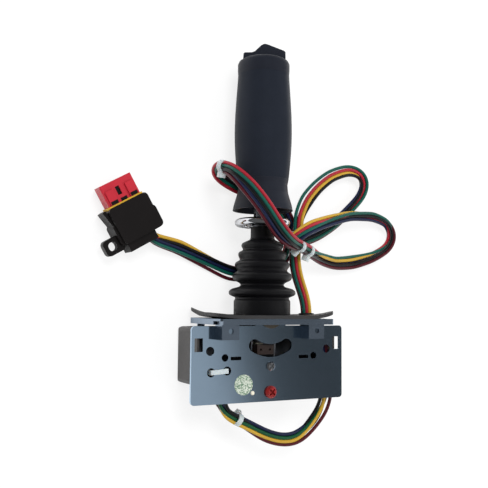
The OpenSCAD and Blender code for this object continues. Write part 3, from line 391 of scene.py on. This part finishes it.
# Dark windows in the plug's red insert, as thin boxes turned with the plug.
# Each has its centre across, centre up, half width, half height and face
windows = {"place": (-99.8, 16.0, 78.3), "turn": 30, "thick": 0.3, "openings": [
    (-7.6, 2.5, 2.6, 1.15, -7.45), (0, 2.0, 2.4, 1.3, -6.05),
    (7.6, 2.5, 2.6, 1.15, -7.45), (-1, 8.6, 1.4, 2.9, -4.8)]}
openings = np.array(windows["openings"])
sign = np.array([[-1, -1, -1], [1, -1, -1], [1, -1, 1], [-1, -1, 1],
                 [-1, 1, -1], [1, 1, -1], [1, 1, 1], [-1, 1, 1]])
boxes = np.stack([openings[:, None, 0] + sign[None, :, 0] * openings[:, None, 2],
                  openings[:, None, 4] + sign[None, :, 1] * windows["thick"] / 2,
                  openings[:, None, 1] + sign[None, :, 2] * openings[:, None, 3]], -1).reshape(-1, 3)
lean = math.radians(windows["turn"])
across = boxes[:, 0] * math.cos(lean) - boxes[:, 2] * math.sin(lean)
upward = boxes[:, 0] * math.sin(lean) + boxes[:, 2] * math.cos(lean)
boxes = np.stack([across, boxes[:, 1], upward], -1) + np.array(windows["place"])
boxFaces = np.array([[0, 1, 2, 3], [4, 7, 6, 5], [0, 4, 5, 1], [1, 5, 6, 2], [2, 6, 7, 3], [3, 7, 4, 0]])
allFaces = (np.arange(len(openings))[:, None, None] * 8 + boxFaces).reshape(-1, 4)
windowPiece = makePiece("plug_windows", toRow(boxes), allFaces, flatAngle=30)
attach(windowPiece, "lever")
print("boot, flange, spring and windows done")

# Finishes of the solid pieces
steel = {"scale": 220, "rough": 0.12, "spread": 0.03, "bump": 0.02, "depth": 0.0001, "Metallic": 1.0}
plateMetal = makeMaterial("plate_metal", (176, 200, 222), (164, 188, 210), **steel)
panMetal = makeMaterial("pan_metal", (150, 166, 184), (128, 142, 158), **{**steel, "rough": 0.26})
coverPaint = makeMaterial("cover_metal", (76, 73, 72), (64, 63, 63), scale=180, rough=0.45, Metallic=0.5)
zinc = makeMaterial("zinc_look", (196, 198, 202), (168, 170, 174), **{**steel, "rough": 0.22})
bareSteel = makeMaterial("bare_steel_look", (128, 130, 136), (104, 106, 112), **{**steel, "rough": 0.32})
bronze = makeMaterial("bronze_look", (136, 128, 116), (112, 106, 96), **{**steel, "rough": 0.3})
chrome = makeMaterial("chrome_look", (222, 224, 228), (206, 208, 212), **{**steel, "rough": 0.1})
lacquer = makeMaterial("lacquer_look", (168, 36, 34), (40, 8, 10), scale=1600, rough=0.22, bump=0.5,
                       depth=0.0004)
castBlack = makeMaterial("cast_look", (30, 30, 34), (22, 22, 25), scale=260, bump=0.3, Metallic=0.5)
cream = makeMaterial("cream_look", (226, 222, 206), (210, 204, 184), rough=0.5)
brown = makeMaterial("brown_look", (44, 31, 27), (28, 20, 18), rough=0.42)
potBlack = makeMaterial("pot_look", (40, 42, 46), (28, 30, 34), rough=0.45)
board = makeMaterial("board_look", (34, 98, 58), (22, 74, 44), scale=700, rough=0.4)
nylon = makeMaterial("nylon_look", (226, 232, 232), (206, 214, 216), rough=0.35, Transmission_Weight=0.35,
                     Subsurface_Weight=0.1)
grip = makeMaterial("grip_look", (27, 31, 39), (32, 36, 45), scale=420, rough=0.42, spread=0.06, bump=0.16,
                    Specular_IOR_Level=0.08)
# The grip head and thumb rocker take the grip's plastic a little darker: painted shade beside the lit body
# of the grip
shadedHead = makeMaterial("head_painted_shade_look", (26, 29, 37), (31, 34, 43), scale=420, rough=0.48, spread=0.06, bump=0.16,
                    Specular_IOR_Level=0.16)
skirt = makeMaterial("skirt_look", (28, 31, 39), (34, 37, 46), rough=0.42, bump=0.12,
                     Specular_IOR_Level=0.18)
rubber = makeMaterial("rubber_look", (26, 26, 29), (36, 36, 40), rough=0.55, bump=0.3)
plugBlack = makeMaterial("plug_look", (18, 16, 16), (25, 22, 22), rough=0.42, bump=0.15,
                         Specular_IOR_Level=0.2)
plugRed = makeMaterial("plug_red_look", (186, 34, 50), (160, 24, 40), rough=0.36, bump=0.08)
sealYellow = makeMaterial("seal_look", (218, 176, 52), (198, 152, 36), rough=0.5)

# Sticker: a pale film with green blotches where the noise is low
film = bpy.data.materials.new("sticker_look")
film.use_nodes = True
filmTree = film.node_tree
filmPlace = filmTree.nodes.new("ShaderNodeTexCoord").outputs["Object"]
blotches = addNode(filmTree, "ShaderNodeTexNoise", Vector=filmPlace, Scale=1400.0, Detail=1.0)
ramp = addNode(filmTree, "ShaderNodeValToRGB", Fac=blotches.outputs["Fac"])
ramp.color_ramp.elements[0].position = 0.44
ramp.color_ramp.elements[0].color = linear((70, 108, 80))
ramp.color_ramp.elements[1].position = 0.53
ramp.color_ramp.elements[1].color = linear((196, 202, 190))
filmTree.links.new(ramp.outputs["Color"], filmTree.nodes["Principled BSDF"].inputs["Base Color"])

paint(plateMetal, "front_plate")
paint(panMetal, "mounting_pan")
paint(coverPaint, "rear_cover")
paint(zinc, "cover_screws", "pan_screws", "anchor_screw", "stop_nut", "sensor_nut", "centring_spring",
      "skirt_screw", "rocker_pin", "lock_pin", "lock_spring", "lock_spring_coil")
paint(bareSteel, "rear_plate", "spacer_posts", "lock_gate", "anchor_post", "lever_tube", "lock_rod",
      "sensor_shaft")
paint(bronze, "pivot_bushings")
paint(chrome, "lock_ring")
paint(lacquer, "stop_screw")
paint(castBlack, "lever_hub")
paint(cream, "sensor_sector", "sensor_gear", "board_header", "case_rivet")
paint(brown, "follower_block")
paint(potBlack, "potentiometer", "rocker_switch")
paint(board, "circuit_board")
paint(nylon, "strap_tie", "under_loop_tie", "bundle_ties")
paint(grip, "grip_body")
paint(shadedHead, "grip_head", "thumb_rocker")
paint(skirt, "grip_skirt")
paint(rubber, "harness_grommet", "boot", "boot_flange")
paint(plugBlack, "connector_shell", "plug_windows")
paint(plugRed, "connector_insert")
paint(sealYellow, "connector_seal")
paint(film, "inspection_sticker")
paint(insulation["black"], "under_loop", *harnessNodes)


# Widths of the rounded edges and the joining distance in metres, and the least angle that counts as an edge
edges = {"moulded": 0.0005, "sheet": 0.0002, "join": 0.00001, "segments": 2, "angle": 40}


# Rounds the edges sharper than the angle, once the loose triangles are joined
def soften(width, *names):
    for name in names:
        weld = nodes[name].modifiers.new("weld", "WELD")
        weld.merge_threshold = edges["join"]
        bevel = nodes[name].modifiers.new("edge", "BEVEL")
        bevel.width = width
        bevel.segments = edges["segments"]
        bevel.limit_method = "ANGLE"
        bevel.angle_limit = math.radians(edges["angle"])


soften(edges["moulded"], "connector_shell", "connector_insert", "thumb_rocker", "grip_head", "rear_cover")
soften(edges["sheet"], "front_plate", "mounting_pan", "under_loop_tie", "bundle_ties", "strap_tie")
print("finishes done")

# Floor: it looks white to the camera by its own glow, and the rest of its look keeps the shadow
ground = {"height": -0.0257, "half": 4.0, "glow": 0.78}
corners = np.array([[-1, -1], [1, -1], [1, 1], [-1, 1]]) * ground["half"]
floorPoints = np.column_stack([corners, np.full(4, ground["height"])])
floorPiece = makePiece("floor", floorPoints, np.array([[0, 1, 2, 3]]))
floorMaterial = makeMaterial("floor_look", (252, 252, 252), (250, 250, 250), scale=20, rough=0.9,
                             spread=0.02, bump=0.0)
floorPiece.data.materials.append(floorMaterial)
floorTree = floorMaterial.node_tree
lifted = floorTree.nodes.new("ShaderNodeMath")
lifted.operation = "MULTIPLY"
floorTree.links.new(floorTree.nodes.new("ShaderNodeLightPath").outputs["Is Camera Ray"], lifted.inputs[0])
lifted.inputs[1].default_value = ground["glow"]
whiteFloor = addNode(floorTree, "ShaderNodeEmission", Color=(1, 1, 1, 1), Strength=1.0)
mixed = addNode(floorTree, "ShaderNodeMixShader", Fac=lifted.outputs[0])
floorTree.links.new(floorTree.nodes["Principled BSDF"].outputs["BSDF"], mixed.inputs[1])
floorTree.links.new(whiteFloor.outputs["Emission"], mixed.inputs[2])
floorTree.links.new(mixed.outputs["Shader"], floorTree.nodes["Material Output"].inputs["Surface"])

# Studio: white to the camera, even grey light, and for reflections a row of panels by direction across
studio = {"light": 0.78, "slant": 0.16, "tones": [
    (0.0, 0.1), (0.2, 0.16), (0.37, 0.56), (0.425, 0.54), (0.429, 0.35), (0.445, 0.2), (0.462, 0.1),
    (0.49, 0.075), (0.56, 0.05), (0.6, 0.08), (0.68, 0.7), (0.86, 0.6), (1.0, 0.06)]}
world = bpy.data.worlds.new("studio")
bpy.context.scene.world = world
world.use_nodes = True
worldTree = world.node_tree
background = worldTree.nodes["Background"]
direction = worldTree.nodes.new("ShaderNodeTexCoord").outputs["Generated"]
split = addNode(worldTree, "ShaderNodeSeparateXYZ", Vector=direction)
slanted = worldTree.nodes.new("ShaderNodeMath")
slanted.operation = "MULTIPLY_ADD"
worldTree.links.new(split.outputs["Y"], slanted.inputs[0])
slanted.inputs[1].default_value = studio["slant"]
worldTree.links.new(split.outputs["X"], slanted.inputs[2])
panel = addNode(worldTree, "ShaderNodeValToRGB", Fac=slanted.outputs[0])
tones = studio["tones"]
panel.color_ramp.elements[0].position = tones[0][0]
panel.color_ramp.elements[1].position = tones[-1][0]
for position, tone in tones[1:-1]:
    panel.color_ramp.elements.new(position)
for element, (position, tone) in zip(panel.color_ramp.elements, tones):
    element.color = (tone, tone, tone, 1)
seen = worldTree.nodes.new("ShaderNodeLightPath")
reflected = addNode(worldTree, "ShaderNodeMix", "RGBA", Factor=seen.outputs["Is Glossy Ray"])
reflected.inputs["A"].default_value = (studio["light"], studio["light"], studio["light"], 1)
worldTree.links.new(panel.outputs["Color"], reflected.inputs["B"])
shown = addNode(worldTree, "ShaderNodeMix", "RGBA", Factor=seen.outputs["Is Camera Ray"])
worldTree.links.new(reflected.outputs["Result"], shown.inputs["A"])
shown.inputs["B"].default_value = (1, 1, 1, 1)
worldTree.links.new(shown.outputs["Result"], background.inputs["Color"])


# A round lamp at place that faces target and shows in no reflection
def addLight(name, place, target, size, power):
    light = bpy.data.lights.new(name, "AREA")
    light.shape = "DISK"
    light.size = size
    light.energy = power
    lamp = bpy.data.objects.new(name, light)
    lamp.visible_glossy = False
    bpy.context.scene.collection.objects.link(lamp)
    back = unit(np.array(place, float) - np.array(target, float))
    side = unit(np.cross([0, 1, 0.01], back))
    matrix = np.eye(4)
    matrix[:3, :3] = np.stack([side, np.cross(back, side), back], 1)
    matrix[:3, 3] = place
    lamp.matrix_world = Matrix(matrix.tolist())


addLight("key_light", (-0.2, 0.5, 1.0), (0, 0.05, 0), 0.5, 7)
addLight("side_light", (0.7, -0.1, 0.8), (0, 0.05, 0), 0.6, 3)
bpy.context.scene.view_settings.view_transform = "Standard"
print("light done")
